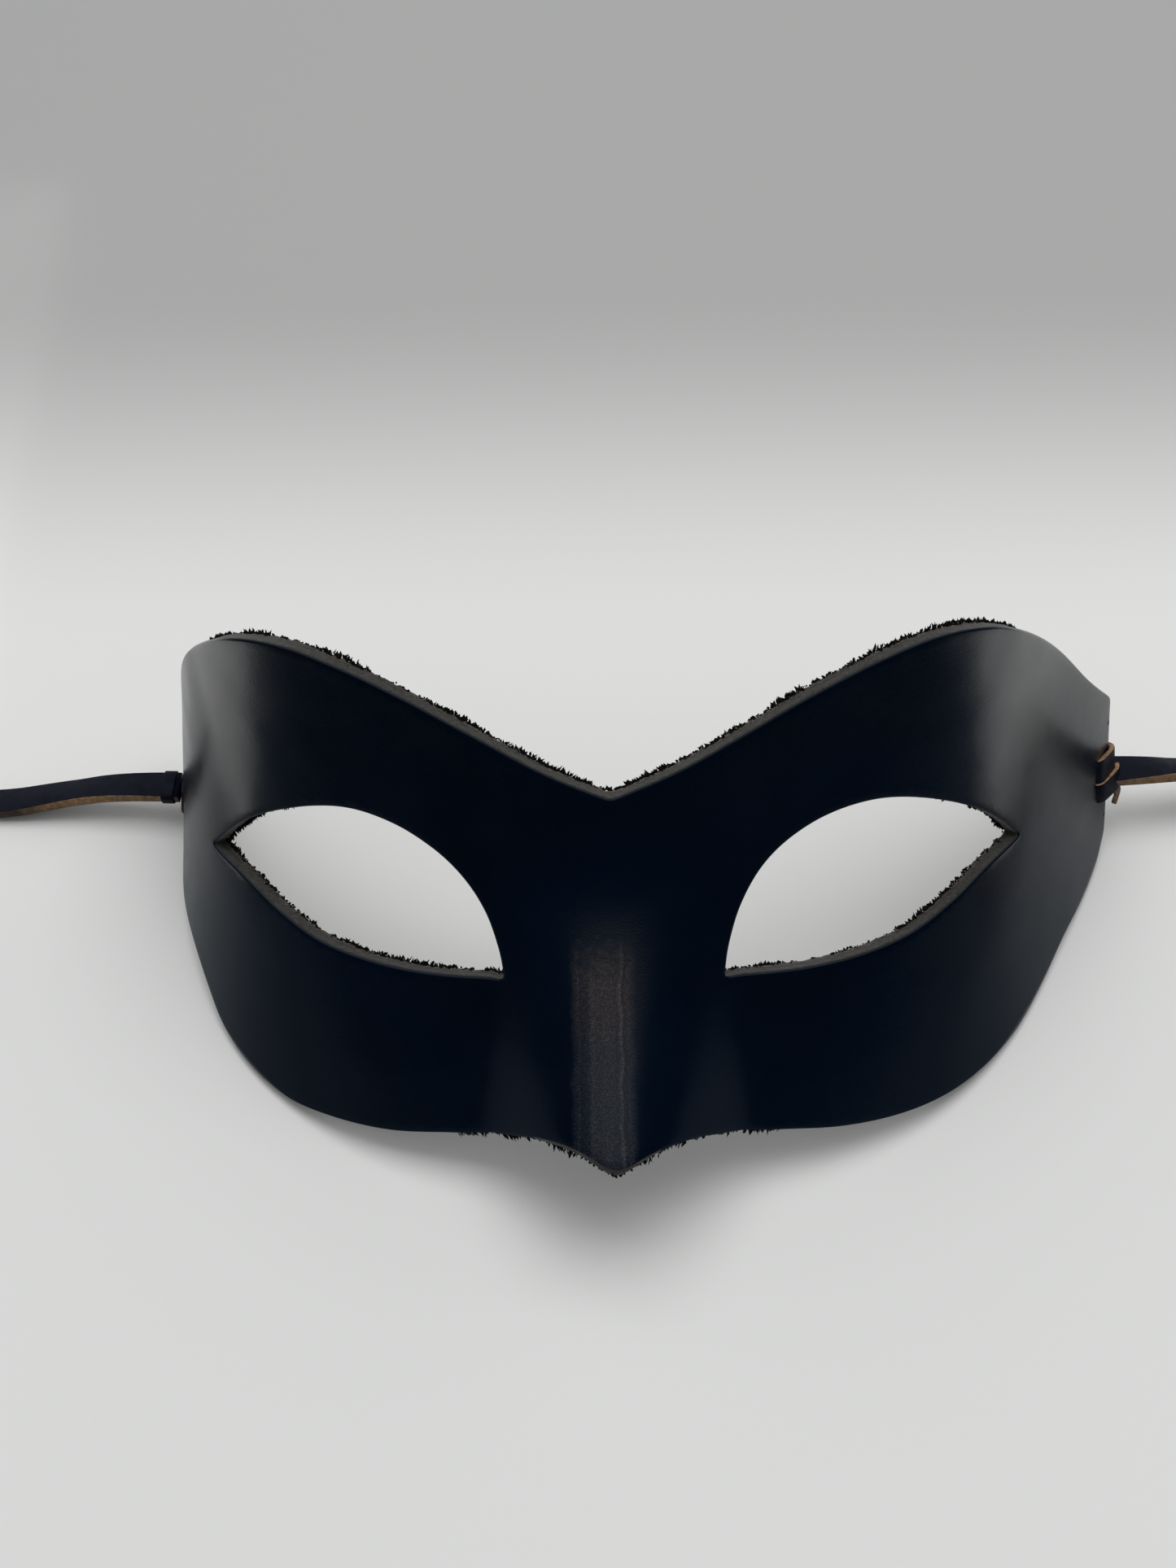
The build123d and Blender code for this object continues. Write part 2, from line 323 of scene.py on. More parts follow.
def make_mesh(name, verts, faces, materials, slots=None, smooth=True):
    """A mesh object from arrays, with a material index for every face."""
    mesh = bpy.data.meshes.new(name)
    mesh.from_pydata([tuple(v) for v in verts], [], [tuple(f) for f in faces])
    for material in materials:
        mesh.materials.append(material)
    if slots is not None:
        mesh.polygons.foreach_set("material_index", slots)
    mesh.polygons.foreach_set("use_smooth", [smooth] * len(faces))
    mesh.validate()
    mesh.update()
    piece = bpy.data.objects.new(name, mesh)
    bpy.context.scene.collection.objects.link(piece)
    return piece


# ---------------------------------------------------------------- materials

# Nearly all values of a noise node lie between these two
NOISE_RANGE = (0.3, 0.7)
# How far from the middle of a crease the top of a pebble is, in cells
CREASE_REACH = 0.35


class Nodes:
    """A short way to write a node tree."""

    def __init__(self, name):
        self.material = bpy.data.materials.new(name)
        self.material.use_nodes = True
        self.tree = self.material.node_tree
        self.shader = self.tree.nodes["Principled BSDF"]
        coords = self.tree.nodes.new("ShaderNodeTexCoord")
        self.place = coords.outputs["Object"]

    def node(self, kind, **values):
        made = self.tree.nodes.new(kind)
        for key, value in values.items():
            setattr(made, key, value)
        return made

    def link(self, a, b):
        self.tree.links.new(a, b)

    def noise(self, size, detail=3.0, stretch=(1, 1, 1), distort=0.0):
        """Noise whose spots are about size metres across."""
        mapping = self.node("ShaderNodeMapping")
        mapping.inputs["Scale"].default_value = [k / size for k in stretch]
        self.link(self.place, mapping.inputs["Vector"])
        made = self.node("ShaderNodeTexNoise")
        made.inputs["Scale"].default_value = 1.0
        made.inputs["Detail"].default_value = detail
        made.inputs["Distortion"].default_value = distort
        self.link(mapping.outputs[0], made.inputs["Vector"])
        return made.outputs["Fac"]

    def vary(self, size, detail, low, high):
        """A value that wanders between low and high, in spots about size metres across."""
        return self.remap(self.noise(size, detail), *NOISE_RANGE, low, high)

    def pebbles(self, size):
        """Cells about size metres across: 0 in the creases, 1 on the pebbles."""
        made = self.node("ShaderNodeTexVoronoi", feature="DISTANCE_TO_EDGE")
        made.inputs["Scale"].default_value = 1 / size
        self.link(self.place, made.inputs["Vector"])
        return self.remap(made.outputs["Distance"], 0, CREASE_REACH, 0, 1)

    def remap(self, value, low, high, to_low, to_high):
        made = self.node("ShaderNodeMapRange")
        made.inputs["From Min"].default_value = low
        made.inputs["From Max"].default_value = high
        made.inputs["To Min"].default_value = to_low
        made.inputs["To Max"].default_value = to_high
        self.link(value, made.inputs["Value"])
        return made.outputs["Result"]

    def along(self, direction, origin):
        """How far a point lies from the origin, measured along a direction."""
        made = self.node("ShaderNodeVectorMath", operation="DOT_PRODUCT")
        self.link(self.place, made.inputs[0])
        made.inputs[1].default_value = tuple(direction)
        return self.math("SUBTRACT", made.outputs["Value"], float(np.dot(direction, origin)))

    def math(self, operation, a, b):
        made = self.node("ShaderNodeMath", operation=operation)
        for socket, value in zip(made.inputs, (a, b)):
            if isinstance(value, (int, float)):
                socket.default_value = value
            else:
                self.link(value, socket)
        return made.outputs[0]

    def ramp(self, value, stops):
        """A colour for each value, from stops of a position and a colour."""
        made = self.node("ShaderNodeValToRGB")
        elements = made.color_ramp.elements
        while len(elements) < len(stops):
            elements.new(0.5)
        for element, (at, colour) in zip(elements, stops):
            element.position = at
            element.color = (*colour, 1)
        self.link(value, made.inputs["Fac"])
        return made.outputs["Color"]

    def mix(self, share, a, b):
        made = self.node("ShaderNodeMix", data_type="RGBA")
        self.link(share, made.inputs["Factor"])
        for socket, value in ((made.inputs["A"], a), (made.inputs["B"], b)):
            if isinstance(value, tuple):
                socket.default_value = (*value, 1)
            else:
                self.link(value, socket)
        return made.outputs["Result"]

    def bump(self, height, distance, strength, under=None):
        """Relief that is distance metres high, laid over another one if under is given."""
        made = self.node("ShaderNodeBump")
        made.inputs["Strength"].default_value = strength
        made.inputs["Distance"].default_value = distance
        self.link(height, made.inputs["Height"])
        if under is not None:
            self.link(under, made.inputs["Normal"])
        return made.outputs["Normal"]

    def finish(self, colour, roughness, normal, **constants):
        """Links the three channels, sets the other sockets and gives the material."""
        self.link(colour, self.shader.inputs["Base Color"])
        self.link(roughness, self.shader.inputs["Roughness"])
        self.link(normal, self.shader.inputs["Normal"])
        for key, value in constants.items():
            self.shader.inputs[key.replace("_", " ")].default_value = value
        return self.material


# The band on the nose ridge, partly worn dye and partly painted highlight: its middle and half width,
# the heights where it starts and is full, how far its sides and top wander, and how pale it is from one
# side to the other
WORN_HIGHLIGHT_MIDDLE = -0.0016
WORN_HIGHLIGHT_HALF = 0.0050
WORN_HIGHLIGHT_TOP = -0.0030
WORN_HIGHLIGHT_FULL = -0.0085
WORN_HIGHLIGHT_WOBBLE = 0.00025
WORN_HIGHLIGHT_RAGGED = 0.0015
WORN_HIGHLIGHT_STRIPES = [(0.00, 0.0), (0.06, 0.12), (0.10, 0.16), (0.13, 0.24), (0.16, 0.14), (0.28, 0.16),
                (0.33, 0.36), (0.40, 0.26), (0.60, 0.28), (0.72, 0.22), (0.77, 0.56), (0.80, 0.14),
                (0.88, 0.24), (0.93, 0.12), (1.00, 0.0)]
# The flecks in it: their size and shape, the noise they are made from and how pale they are
FLECK_SIZE = 0.00024
FLECK_STRETCH = (1, 1, 0.5)
FLECK_RANGE = (0.46, 0.72)
FLECK_LEVELS = (0.62, 2.6)
# Above and below these heights the band of wear and painted highlight is brown and grey; how rough the grain
# side is
BROWN_ABOVE = -0.0125
GREY_BELOW = -0.0175
WORN_HIGHLIGHT_GREY = (0.055, 0.056, 0.064)
WORN_HIGHLIGHT_BROWN = (0.085, 0.064, 0.057)
GRAIN_ROUGH = (0.20, 0.27)
WORN_ROUGHER = 0.22


def ridge_top():
    """The point of the grain side where the pattern's s and w are both 0."""
    return place(grain(np.array([0.0]), np.array([0.0])))[0]


def worn_highlight_ridge(n):
    """A band of worn dye and painted highlight down the nose ridge, with paler lines where it has creased.
    """
    origin = ridge_top()
    across = n.along(LEAN @ (1, 0, 0), origin)
    level = n.along(LEAN @ (0, 0, 1), origin)
    wobble = n.vary(0.004, 3, -WORN_HIGHLIGHT_WOBBLE, WORN_HIGHLIGHT_WOBBLE)
    across = n.math("ADD", across, wobble)
    band = n.remap(across, WORN_HIGHLIGHT_MIDDLE - WORN_HIGHLIGHT_HALF, WORN_HIGHLIGHT_MIDDLE + WORN_HIGHLIGHT_HALF, 0, 1)
    stripes = n.ramp(band, [(at, (value, value, value)) for at, value in WORN_HIGHLIGHT_STRIPES])
    ragged = n.math("ADD", level, n.vary(0.0012, 4, -WORN_HIGHLIGHT_RAGGED, WORN_HIGHLIGHT_RAGGED))
    below = n.remap(ragged, WORN_HIGHLIGHT_TOP, WORN_HIGHLIGHT_FULL, 0, 1)
    flecks = n.remap(n.noise(FLECK_SIZE, 5, stretch=FLECK_STRETCH), *FLECK_RANGE, *FLECK_LEVELS)
    return n.math("MULTIPLY", n.math("MULTIPLY", stripes, below), flecks)


def grain_leather():
    """Satin black: fine pebbles, faint cloudy navy dye, a brown-grey band of wear and painted highlight on
    the nose.
    """
    n = Nodes("mask_grain")
    cloud = n.noise(0.022, 4)
    dye = n.ramp(cloud, [(0.30, (0.0003, 0.0030, 0.0085)), (0.72, (0.0006, 0.0045, 0.0125))])
    worn_highlight = worn_highlight_ridge(n)
    brown = n.remap(n.along(LEAN @ (0, 0, 1), ridge_top()), GREY_BELOW, BROWN_ABOVE, 0, 1)
    # The band's colour, partly worn leather and partly painted highlight: brown above, grey below
    bare = n.mix(brown, WORN_HIGHLIGHT_GREY, WORN_HIGHLIGHT_BROWN)
    tone = n.mix(worn_highlight, dye, bare)
    pebbles = n.pebbles(0.00045)
    fine = n.noise(0.00022, 5)
    rough = n.vary(0.006, 5, *GRAIN_ROUGH)
    rough = n.math("ADD", rough, n.math("MULTIPLY", worn_highlight, WORN_ROUGHER))
    height = n.math("ADD", n.math("MULTIPLY", pebbles, 0.6), n.math("MULTIPLY", fine, 0.5))
    normal = n.bump(height, 0.00002, 0.5)
    normal = n.bump(n.noise(0.0035, 3), 0.00006, 0.30, normal)
    return n.finish(tone, rough, normal, Specular_IOR_Level=0.27)


def edge_leather():
    """The raw cut edge: grey-brown, with the fibres in layers."""
    n = Nodes("mask_cut_edge")
    layers = n.noise(0.0007, 6, distort=0.4)
    tone = n.ramp(layers, [(0.25, (0.008, 0.0078, 0.0070)), (0.75, (0.040, 0.038, 0.034))])
    rough = n.vary(0.0006, 4, 0.75, 0.95)
    normal = n.bump(n.noise(0.00035, 6), 0.0002, 0.9)
    return n.finish(tone, rough, normal, Specular_IOR_Level=0.3, Sheen_Weight=0.25, Sheen_Roughness=0.5)


def flesh_leather():
    """The suede-like inside: dyed dark, brown showing through, with a short nap."""
    n = Nodes("mask_flesh_side")
    nap = n.noise(0.004, 6, distort=0.8)
    tone = n.ramp(nap, [(0.25, (0.012, 0.0095, 0.0080)), (0.75, (0.050, 0.038, 0.029))])
    rough = n.vary(0.001, 4, 0.85, 1.0)
    normal = n.bump(n.noise(0.00055, 6, distort=1.0), 0.00035, 0.9)
    return n.finish(tone, rough, normal, Specular_IOR_Level=0.25, Sheen_Weight=0.35, Sheen_Roughness=0.45)


def fuzz_leather():
    """Loose fibres of the flesh side, dyed nearly black."""
    n = Nodes("mask_loose_fibres")
    tone = n.ramp(n.noise(0.0015, 4), [(0.3, (0.0012, 0.0014, 0.0012)), (0.7, (0.0070, 0.0068, 0.0055))])
    rough = n.vary(0.0008, 3, 0.85, 1.0)
    normal = n.bump(n.noise(0.0002, 3), 0.00005, 0.5)
    return n.finish(tone, rough, normal, Specular_IOR_Level=0.2)


def lace_face():
    """The lace's black face: fine grain, faintly streaked along."""
    n = Nodes("lace_face")
    tone = n.ramp(n.noise(0.0016, 5), [(0.3, (0.0018, 0.0028, 0.0085)), (0.7, (0.0042, 0.0055, 0.0135))])
    rough = n.vary(0.002, 4, 0.40, 0.55)
    height = n.math("ADD", n.pebbles(0.0004), n.noise(0.00025, 5))
    normal = n.bump(height, 0.00004, 0.6)
    return n.finish(tone, rough, normal, Specular_IOR_Level=0.12)


# Where along X the tan edge starts to darken and is fully dark, and how ragged and deep the darkening is
DARKEN_FROM = -0.098
DARKEN_TO = -0.107
DARKEN_RAGGED = 0.006
DARKEN_DEPTH = 0.85
DARK_EDGE_TONE = (0.012, 0.010, 0.012)


def lace_edge():
    """The lace's cut edge: raw tan, darker further out on the left lace."""
    n = Nodes("lace_cut_edge")
    fibres = n.noise(0.0008, 6, distort=0.3)
    raw = n.ramp(fibres, [(0.25, (0.120, 0.068, 0.034)), (0.75, (0.330, 0.205, 0.110))])
    along = n.math("ADD", n.along((1, 0, 0), (0, 0, 0)), n.vary(0.006, 3, -DARKEN_RAGGED, DARKEN_RAGGED))
    darkened = n.remap(along, DARKEN_FROM, DARKEN_TO, 0, DARKEN_DEPTH)
    tone = n.mix(darkened, raw, DARK_EDGE_TONE)
    rough = n.vary(0.0006, 4, 0.7, 0.9)
    normal = n.bump(n.noise(0.0003, 6), 0.00012, 0.8)
    return n.finish(tone, rough, normal, Specular_IOR_Level=0.3)


def lace_back():
    """The lace's flesh side: dark brown nap."""
    n = Nodes("lace_flesh_side")
    nap = n.noise(0.0012, 6, distort=0.6)
    tone = n.ramp(nap, [(0.25, (0.030, 0.020, 0.014)), (0.75, (0.085, 0.060, 0.042))])
    rough = n.vary(0.0008, 4, 0.85, 1.0)
    normal = n.bump(n.noise(0.0004, 6, distort=0.8), 0.0002, 0.9)
    return n.finish(tone, rough, normal, Specular_IOR_Level=0.25, Sheen_Weight=0.3, Sheen_Roughness=0.5)


GRAIN = grain_leather()
EDGE = edge_leather()
FLESH = flesh_leather()
LACE_MATERIALS = [lace_face(), lace_edge(), lace_back()]
# The left knot's edges are dyed like its face
DYED = [LACE_MATERIALS[0], LACE_MATERIALS[0], LACE_MATERIALS[2]]

# ---------------------------------------------------------------- the mask

# The grid of points inside the outline: how far apart they are, how far apart its rows are as a share
# of that, and how near the rim a point may be
GRID = 0.95
ROW_SHARE = 0.866
CLEAR_OF_RIM = 0.558
MERGE = 1e-7
# The rolled edge on the grain side, and how much more it is rounded off under the nose tip
ROLL = 0.45
ROLL_TURNS = (0.0, 22.5, 45.0, 67.5, 90.0)
SKIVE = 1.7
SKIVE_MIDDLE = -3.0
SKIVE_REACH = 7.0
SKIVE_BARE = 1.35
SKIVE_BELOW = -27.0
# The cut edge from grain to flesh: how far inside the outline each ring lies, and how deep
RIM = [(ROLL * (1 - sin(radians(a))), ROLL * (1 - cos(radians(a)))) for a in ROLL_TURNS]
RIM += [(0.0, 0.9), (0.03, 1.4), (0.02, 1.9), (0.0, 2.3), (0.05, 2.6), (0.2, LEATHER), (ROLL, LEATHER)]
GRAIN_RINGS = 3
FLESH_RINGS = 4
ON_GRAIN, ON_CUT, ON_FLESH = range(3)
RAGGED = 0.14
RAGGED_FROM = 1.0


def fill(loops):
    """Triangles between the outline and the holes, over an even grid of points."""
    outer = loops[0]
    low, high = outer.min(axis=0), outer.max(axis=0)
    rows = np.arange(low[1], high[1], GRID * ROW_SHARE)
    columns = np.arange(low[0], high[0], GRID)
    points = np.array([(x + (k % 2) * GRID / 2, y) for k, y in enumerate(rows) for x in columns])
    points = points[inside(points, outer)]
    for loop in loops[1:]:
        points = points[~inside(points, loop)]
    rim = np.vstack(loops)
    near = np.array([np.min((rim[:, 0] - x) ** 2 + (rim[:, 1] - y) ** 2) for x, y in points])
    points = points[near > CLEAR_OF_RIM**2]
    every = np.vstack([rim, points])
    edges = []
    start = 0
    for loop in loops:
        count = len(loop)
        edges += [(start + i, start + (i + 1) % count) for i in range(count)]
        start += count
    _, _, faces, sources, _, _ = delaunay_2d_cdt([Vector(p) for p in every], edges, [], 0, MERGE)
    back = [source[0] for source in sources]
    faces = np.array([[back[i] for i in f] for f in faces])
    middle = every[faces].mean(axis=1)
    keep = inside(middle, outer)
    for loop in loops[1:]:
        keep &= ~inside(middle, loop)
    faces = faces[keep]
    a, b, c = (every[faces[:, k]] for k in range(3))
    turn = (b - a)[:, 0] * (c - a)[:, 1] - (b - a)[:, 1] * (c - a)[:, 0]
    faces[turn < 0] = faces[turn < 0][:, ::-1]
    return every, faces


def leather_points(pattern, depth):
    """Pattern points at a depth under the grain side, with the face upright."""
    s, w = pattern[:, 0], pattern[:, 1]
    front = grain(s, w)
    n = outward(s, w)
    return front + n * (undulation(front) - depth)


def skived(loop):
    """How much more the cut edge is rounded off under the nose tip than elsewhere."""
    near = np.exp(-((loop[:, 0] - SKIVE_MIDDLE) / SKIVE_REACH) ** 2) * (loop[:, 1] < SKIVE_BELOW)
    return 1 + SKIVE * near


def build_mask():
    """The mask as one closed mesh: the grain side, the cut edges and the flesh side."""
    loops = [mask_outline(), eye_outline(+1), eye_outline(-1), hole_outline(+1), hole_outline(-1)]
    inward = [leather_side(loop) for loop in loops]
    inset = [loop + side * ROLL * skived(loop)[:, None] for loop, side in zip(loops, inward)]
    flat, triangles = fill(inset)
    verts = [leather_points(flat, 0), leather_points(flat, LEATHER)]
    faces = [triangles, triangles[:, ::-1] + len(flat)]
    kinds = [np.full(len(triangles), ON_GRAIN), np.full(len(triangles), ON_FLESH)]
    random.seed(SEED)
    start = 2 * len(flat)
    first = 0
    for loop, side in zip(loops, inward):
        count = len(loop)
        rings = [first + np.arange(count)]
        more = skived(loop)
        for k, (inset_by, depth) in enumerate(RIM[1:-1], 1):
            share = min(max((depth - RAGGED_FROM) / (LEATHER - RAGGED_FROM), 0), 1)
            rough = np.array([random.uniform(-RAGGED, RAGGED) * share for _ in range(count)])
            if k < len(ROLL_TURNS):
                ring = loop + side * (inset_by * more + rough)[:, None]
                deep = depth * more
            else:
                ring = loop + side * (inset_by + rough)[:, None]
                deep = LEATHER - (LEATHER - depth) * (LEATHER - ROLL * more) / (LEATHER - ROLL)
            verts.append(leather_points(ring, deep[:, None]))
            rings.append(start + np.arange(count))
            start += count
        rings.append(len(flat) + first + np.arange(count))
        for k, (a, b) in enumerate(zip(rings, rings[1:])):
            faces.append(np.stack([np.roll(a, -1), a, b, np.roll(b, -1)], axis=1))
            kind = ON_CUT
            if k < GRAIN_RINGS:
                kind = ON_GRAIN
            elif k >= len(rings) - 1 - FLESH_RINGS:
                kind = ON_FLESH
            bare = (more > SKIVE_BARE) & (0 < k < GRAIN_RINGS)
            kinds.append(np.where(bare, ON_CUT, kind))
        first += count
    verts = place(np.vstack(verts))
    faces = [tuple(f) for part in faces for f in part.tolist()]
    piece = make_mesh("mask", verts, faces, [GRAIN, EDGE, FLESH], np.concatenate(kinds))
    return piece, loops


mask, mask_loops = build_mask()

# ---------------------------------------------------------------- the loose fibres, in millimetres

FUZZ_EVERY = 0.11
FUZZ_LONG = (0.22, 1.00)
FUZZ_THICK = (0.13, 0.32)
FUZZ_DEPTH = (2.25, 2.95)
FUZZ_INSET = 0.12
NOSE_FUZZ_DEPTH = (0.4, 2.2)
NOSE_FUZZ_LONGER = 1.5
NOSE_FUZZ_REACH = 24
# The patches: broad and small ones, each with its size and its layer of the noise
FUZZ_PATCH = 6.0
FUZZ_PATCH_LAYER = 3.0
FUZZ_SMALL_PATCH = 1.7
FUZZ_SMALL_LAYER = 8.0
FUZZ_SMALL_SHARE = 0.6
FUZZ_BARE = 0.42
FUZZ_MORE = 0.32
# How long a tuft is, as a share: mostly, and at least
FUZZ_USUAL = 0.75
FUZZ_LEAST = 0.35
# A tuft: how it leans, where it is thickest, how its sides are turned and how ragged they are
TUFT_LEAN_ALONG = 0.7
TUFT_LEAN_THROUGH = (-0.3, 0.5)
TUFT_GIRDLE = (0.25, 0.6)
TUFT_SIDES = 4
TUFT_TURN = 0.4
TUFT_RAGGED = (0.6, 1.3)
FUZZ_FACES = [(0, 1, 2), (0, 2, 3), (0, 3, 4), (0, 4, 1), (5, 2, 1), (5, 3, 2), (5, 4, 3), (5, 1, 4)]


def tuft(root, out, along, through, long, thick):
    """One short tuft of fibres: a ragged spindle, closed, with its corners in millimetres."""
    lean = along * random.uniform(-TUFT_LEAN_ALONG, TUFT_LEAN_ALONG)
    lean = lean + through * random.uniform(*TUFT_LEAN_THROUGH)
    tip = root + (out + lean) * long
    girdle = root + (out + lean) * long * random.uniform(*TUFT_GIRDLE)
    ring = []
    for k in range(TUFT_SIDES):
        turn = 2 * pi / TUFT_SIDES * k + random.uniform(-TUFT_TURN, TUFT_TURN)
        away = along * cos(turn) + through * sin(turn)
        ring.append(girdle + away * thick * random.uniform(*TUFT_RAGGED))
    return [tip] + ring + [root - out * thick]


def fuzz_roots(loop):
    """The tufts along one edge, in patches: pattern point, direction, depth and share of length."""
    path = resample(loop, FUZZ_EVERY)
    roots = []
    for point, side in zip(path, leather_side(path)):
        small = noise.noise(Vector((*point, FUZZ_SMALL_LAYER)) / FUZZ_SMALL_PATCH)
        patch = noise.noise(Vector((*point, FUZZ_PATCH_LAYER)) / FUZZ_PATCH) + FUZZ_SMALL_SHARE * small
        if random.uniform(-FUZZ_BARE, FUZZ_BARE) > patch + FUZZ_MORE:
            continue
        under_nose = abs(point[0]) < NOSE_FUZZ_REACH and point[1] < SKIVE_BELOW
        depth = random.uniform(*(NOSE_FUZZ_DEPTH if under_nose else FUZZ_DEPTH))
        share = max(FUZZ_LEAST, min(1.0, FUZZ_USUAL + patch))
        if under_nose:
            share *= NOSE_FUZZ_LONGER
        roots.append((*point, *side, depth, share))
    return np.array(roots)


def build_fuzz():
    """Loose fibres that stand out ragged along the flesh side's edge, all in one mesh."""
    roots = np.vstack([fuzz_roots(loop) for loop in mask_loops[:3]])
    point, side, depth, shares = roots[:, 0:2], roots[:, 2:4], roots[:, 4:5], roots[:, 5]
    here = leather_points(point + side * FUZZ_INSET, depth)
    out = unit(leather_points(point + side * (FUZZ_INSET - 1), depth) - here)
    through = -outward(point[:, 0], point[:, 1])
    along = np.cross(out, through)
    verts = []
    faces = []
    for k, share in enumerate(shares):
        first = len(verts)
        long = random.uniform(*FUZZ_LONG) * share
        verts += tuft(here[k], out[k], along[k], through[k], long, random.uniform(*FUZZ_THICK))
        faces += [tuple(first + i for i in face) for face in FUZZ_FACES]
    verts = place(np.array(verts))
    verts[:, 2] = np.maximum(verts[:, 2], 0)
    fuzz = make_mesh("mask_fuzz", verts, faces, [fuzz_leather()], smooth=False)
    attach(fuzz, "root")


build_fuzz()

# ---------------------------------------------------------------- the laces, in metres

LACE_WIDTH = 0.0050
LACE_THICK = 0.0019
LACE_CORNER = 0.00022
CORNER_CUT = 0.3
# The way each lace takes from its knot to its coil
LACE_ROUTE = {-1: [(-0.0796, 0.0353, 0.0068), (-0.0895, 0.0361, 0.0062), (-0.1005, 0.0359, 0.0039),
                   (-0.1120, 0.0351, 0.0017), (-0.1230, 0.0360, 0.0014), (-0.1340, 0.0369, 0.0026)],
              +1: [(0.0796, 0.0345, 0.0113), (0.0880, 0.0351, 0.0109), (0.0975, 0.0362, 0.0089),
                   (0.1080, 0.0370, 0.0053), (0.1186, 0.0372, 0.0028)]}
COIL_CENTRE = {-1: (-0.146, 0.0055), +1: (0.131, 0.0056)}
COIL_START = 0.0315
COIL_PITCH = 0.0040
COIL_TURNS = 2.5
POINTS_PER_TURN = 12
COIL_LEVEL = 0.0026
CURVE_STEPS = 10
# How far the face is turned up at each distance from the knot, in degrees
FACE_TILT = {-1: [(0.0, 84), (0.018, 104), (0.036, 90), (0.050, 92), (0.085, 180)],
             +1: [(0.0, 82), (0.011, 113), (0.020, 118), (0.052, 180)]}


def lace_line(side):
    """The control points of a lace: its route, then its coil, which it enters at a tangent."""
    points = list(LACE_ROUTE[side])
    x, y = COIL_CENTRE[side]
    end = points[-1]
    points.append(((end[0] + x) / 2, y + COIL_START, (end[2] + COIL_LEVEL) / 2))
    for k in range(int(COIL_TURNS * POINTS_PER_TURN) + 1):
        turn = k / POINTS_PER_TURN
        angle = pi / 2 - side * 2 * pi * turn
        radius = COIL_START - COIL_PITCH * turn
        points.append((x + radius * cos(angle), y + radius * sin(angle), COIL_LEVEL))
    return points


def smooth_line(name, points):
    """Points read from a NURBS spline that has these control points."""
    curve = bpy.data.curves.new(name, "CURVE")
    curve.dimensions = "3D"
    curve.resolution_u = CURVE_STEPS
    spline = curve.splines.new("NURBS")
    spline.points.add(len(points) - 1)
    for point, place_ in zip(spline.points, points):
        point.co = (*place_, 1)
    spline.order_u = 3
    spline.use_endpoint_u = True
    holder = bpy.data.objects.new(name, curve)
    mesh = bpy.data.meshes.new_from_object(holder)
    line = np.array([tuple(v.co) for v in mesh.vertices])
    bpy.data.objects.remove(holder)
    bpy.data.curves.remove(curve)
    bpy.data.meshes.remove(mesh)
    return line


def strip_section(width, thick, corner):
    """Corners of a flat strip's section, across and up, and the material from each to the next."""
    a, b, c = width / 2, thick / 2, corner
    cut = CORNER_CUT * c
    points = [(-a + c, b), (a - c, b), (a - cut, b - cut), (a, b - c), (a, -b + c), (a - cut, -b + cut),
              (a - c, -b), (-a + c, -b), (-a + cut, -b + cut), (-a, -b + c), (-a, b - c),
              (-a + cut, b - cut)]
    kinds = [0, 0, 1, 1, 1, 2, 2, 2, 1, 1, 1, 0]
    return points, kinds


def sweep_strip(name, line, faces_up, width, thick, corner, materials=None):
    """A flat strip along a line; faces_up is the direction of its face at every point."""
    run = unit(np.gradient(line, axis=0))
    up = unit(faces_up - run * np.sum(faces_up * run, axis=1, keepdims=True))
    across = np.cross(run, up)
    section, kinds = strip_section(width, thick, corner)
    count = len(section)
    verts = [p + across[i] * a + up[i] * b for i, p in enumerate(line) for a, b in section]
    faces = []
    slots = []
    for i in range(len(line) - 1):
        for k in range(count):
            a, b = i * count + k, i * count + (k + 1) % count
            faces.append((a, b, b + count, a + count))
            slots.append(kinds[k])
    last = (len(line) - 1) * count
    faces += [tuple(range(count))[::-1], tuple(range(last, last + count))]
    slots += [0, 0]
    return make_mesh(name, verts, faces, materials or LACE_MATERIALS, slots)


def lace_faces(side, line):
    """Which way the lace's face looks: up and forwards by the knot, outwards in the coil."""
    run = unit(np.gradient(line, axis=0))
    level = unit(np.cross(run, (0, 0, 1)) * side)
    up = unit(np.cross(level, run) * side)
    way = way_along(line)
    at, tilt = zip(*FACE_TILT[side])
    angle = np.radians(np.interp(way, at, tilt))[:, None]
    return level * np.cos(angle) + up * np.sin(angle), way[-1]


# The strips of each knot: name, width, whether the black face is outside, and the points of the
# middle line, in millimetres past the wing's end, up along it, and out of the leather
KNOT_THICK = 0.9
KNOT_STRIPS = {
    +1: [("over", 4.4, True, [(-5.2, 1.4, -1.4), (-5.1, 1.4, 0.3), (-2.5, 1.4, 0.55), (0.2, 1.5, 0.9),
                              (1.5, 1.5, 0.0), (1.6, 1.4, -2.4), (0.3, 1.2, -3.5), (-4.2, 0.6, -3.5)]),
         ("exit", 3.8, True, [(-5.3, -2.7, -1.4), (-5.2, -2.7, 0.3), (-2.8, -2.4, 1.0), (-0.6, -2.2, 1.4),
                              (0.8, -2.0, 1.5), (1.7, -1.8, 0.9)]),
         ("tail", 1.8, False, [(-0.6, -2.6, 0.6), (0.0, -3.9, 1.5), (0.4, -5.3, 1.6), (0.4, -6.9, 1.0)])],
    -1: [("over", 4.4, True, [(-5.2, -1.0, -1.4), (-5.1, -1.0, 0.3), (-2.5, -1.0, 0.55), (0.2, -1.0, 0.9),
                              (1.5, -1.0, 0.0), (1.6, -1.0, -2.4), (0.3, -1.0, -3.5), (-4.2, -1.0, -3.5)])]}
